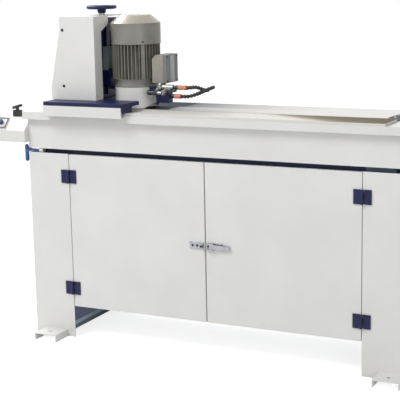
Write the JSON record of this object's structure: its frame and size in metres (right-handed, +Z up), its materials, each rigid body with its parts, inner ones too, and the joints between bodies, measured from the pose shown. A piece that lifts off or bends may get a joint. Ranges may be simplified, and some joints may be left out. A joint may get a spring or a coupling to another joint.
{
  "type": "planer knife grinder",
  "caption": "Floor-standing planer knife grinder: cabinet with doors, long bed, travelling carriage, vertical cup-wheel motor, tilting knife table and coolant hoses.",
  "frame": {"origin": "on the floor under the middle of the overall length and depth", "axes": "+X along the bed to the right, +Y to the rear, +Z up"},
  "size_m": [1.564, 0.52, 1.147],
  "materials": {
    "navy_paint": "gloss",
    "white_paint": "gloss",
    "blue_paint": "gloss",
    "grey_paint": "satin",
    "ground_steel": "satin",
    "bare_steel": "satin",
    "chrome": "polished",
    "bronze": "satin",
    "laminations": "matte",
    "abrasive": "matte",
    "black_plastic": "satin",
    "beige_plastic": "satin",
    "orange_plastic": "satin",
    "blue_plastic": "satin",
    "red_plastic": "satin",
    "rubber": "matte"
  },
  "bodies": {
    "stand": {"left_pedestal": "navy_paint", "right_pedestal": "navy_paint", "front_panels": "white_paint", "floor_feet": "white_paint", "cabinet_floor": "navy_paint", "rear_panel": "white_paint", "hinge_frame_leaves": "navy_paint", "hinge_pins": "bare_steel", "coolant_tank": "grey_paint", "coolant_pump": "grey_paint", "coolant_tray": "navy_paint", "bed": "white_paint", "front_way": "ground_steel", "table_brackets": "grey_paint", "drive_belt": "rubber", "feed_gearmotor": "grey_paint", "control_box": "white_paint", "control_panel": "black_plastic", "limit_switch": "black_plastic"},
    "left_door": {"left_door": "white_paint", "left_hinge_leaves": "navy_paint", "latch_keeper": "chrome"},
    "right_door": {"right_door": "white_paint", "right_hinge_leaves": "navy_paint", "latch_base": "chrome"},
    "latch_lever": {"latch_lever": "chrome"},
    "drain_handle": {"drain_handle": "blue_paint"},
    "knife_table": {"knife_table": "ground_steel"},
    "drive_pulley": {"drive_pulley": "bare_steel"},
    "idler_pulley": {"idler_pulley": "bare_steel"},
    "carriage": {"saddle": "navy_paint", "apron": "white_paint", "saddle_gibs": "bare_steel", "column": "navy_paint", "column_cover": "white_paint"},
    "vertical_feed": {"feed_screw": "bare_steel", "feed_handwheel": "navy_paint"},
    "head": {"head_slide": "grey_paint", "feed_nut": "bronze", "head_bracket": "navy_paint", "motor_flange": "grey_paint", "motor_housing": "grey_paint", "fan_cover": "grey_paint", "stator": "laminations", "motor_bearings": "bare_steel", "terminal_box": "beige_plastic", "terminal_lid": "grey_paint", "wheel_guard": "white_paint", "coolant_manifold": "navy_paint", "coolant_fittings": "chrome", "hose_connectors": "orange_plastic", "lower_hose": "black_plastic", "upper_hose": "black_plastic"},
    "spindle": {"rotor": "bare_steel", "cooling_fan": "black_plastic", "grinding_wheel": "abrasive", "wheel_flange": "bare_steel"},
    "valve_lever": {"valve_lever": "black_plastic"},
    "start_button": {"start_button": "blue_plastic"},
    "stop_button": {"stop_button": "red_plastic"}
  },
  "joints": [
    {"name": "left_door_swing", "type": "hinge", "parent": "stand", "child": "left_door", "pos_m": [-0.433, -0.1865, 0.38], "axis": [0, 0, -1], "range_deg": [0, 110]},
    {"name": "right_door_swing", "type": "hinge", "parent": "stand", "child": "right_door", "pos_m": [0.617, -0.1865, 0.38], "axis": [0, 0, 1], "range_deg": [0, 110]},
    {"name": "latch_lever_turn", "type": "hinge", "parent": "right_door", "child": "latch_lever", "pos_m": [0.102, -0.1875, 0.374], "axis": [0, 0, -1], "range_deg": [0, 100]},
    {"name": "drain_valve_turn", "type": "hinge", "parent": "stand", "child": "drain_handle", "pos_m": [-0.606, -0.172, 0.6595], "axis": [1, 0, 0], "range_deg": [0, 90]},
    {"name": "table_tilt", "type": "hinge", "parent": "stand", "child": "knife_table", "pos_m": [0.092, 0.038, 0.79], "axis": [1, 0, 0], "range_deg": [0, 30]},
    {"name": "carriage_travel", "type": "slide", "parent": "stand", "child": "carriage", "axis": [1, 0, 0], "range_m": [0, 0.8]},
    {"name": "drive_pulley_turn", "type": "hinge", "parent": "stand", "child": "drive_pulley", "pos_m": [0.707, -0.11, 0.715], "axis": [0, 1, 0], "range_deg": [0, 2140]},
    {"name": "idler_pulley_turn", "type": "hinge", "parent": "stand", "child": "idler_pulley", "pos_m": [-0.523, -0.11, 0.715], "axis": [0, 1, 0], "range_deg": [0, 2140]},
    {"name": "head_feed", "type": "slide", "parent": "carriage", "child": "head", "axis": [0, 0, 1], "range_m": [0, 0.08]},
    {"name": "feed_screw_turn", "type": "hinge", "parent": "carriage", "child": "vertical_feed", "pos_m": [-0.378, -0.015, 1.14], "axis": [0, 0, 1], "range_deg": [0, 5762]},
    {"name": "spindle_turn", "type": "hinge", "parent": "head", "child": "spindle", "pos_m": [-0.239, -0.03, 0.96], "axis": [0, 0, 1], "continuous": true},
    {"name": "valve_lever_turn", "type": "hinge", "parent": "head", "child": "valve_lever", "pos_m": [-0.098, -0.115, 0.864], "axis": [0, 1, 0], "range_deg": [0, 90]},
    {"name": "start_button_push", "type": "slide", "parent": "stand", "child": "start_button", "axis": [0, 0.7241, -0.6897], "range_m": [0, 0.003], "stiffness_N_per_m": 800},
    {"name": "stop_button_push", "type": "slide", "parent": "stand", "child": "stop_button", "axis": [0, 0.7241, -0.6897], "range_m": [0, 0.003], "stiffness_N_per_m": 800}
  ],
  "couplings": [
    {"joint": "drive_pulley_turn", "follows": "carriage_travel", "rad_per_m": 46.51},
    {"joint": "idler_pulley_turn", "follows": "carriage_travel", "rad_per_m": 46.51},
    {"joint": "feed_screw_turn", "follows": "head_feed", "rad_per_m": 1256.6}
  ]
}
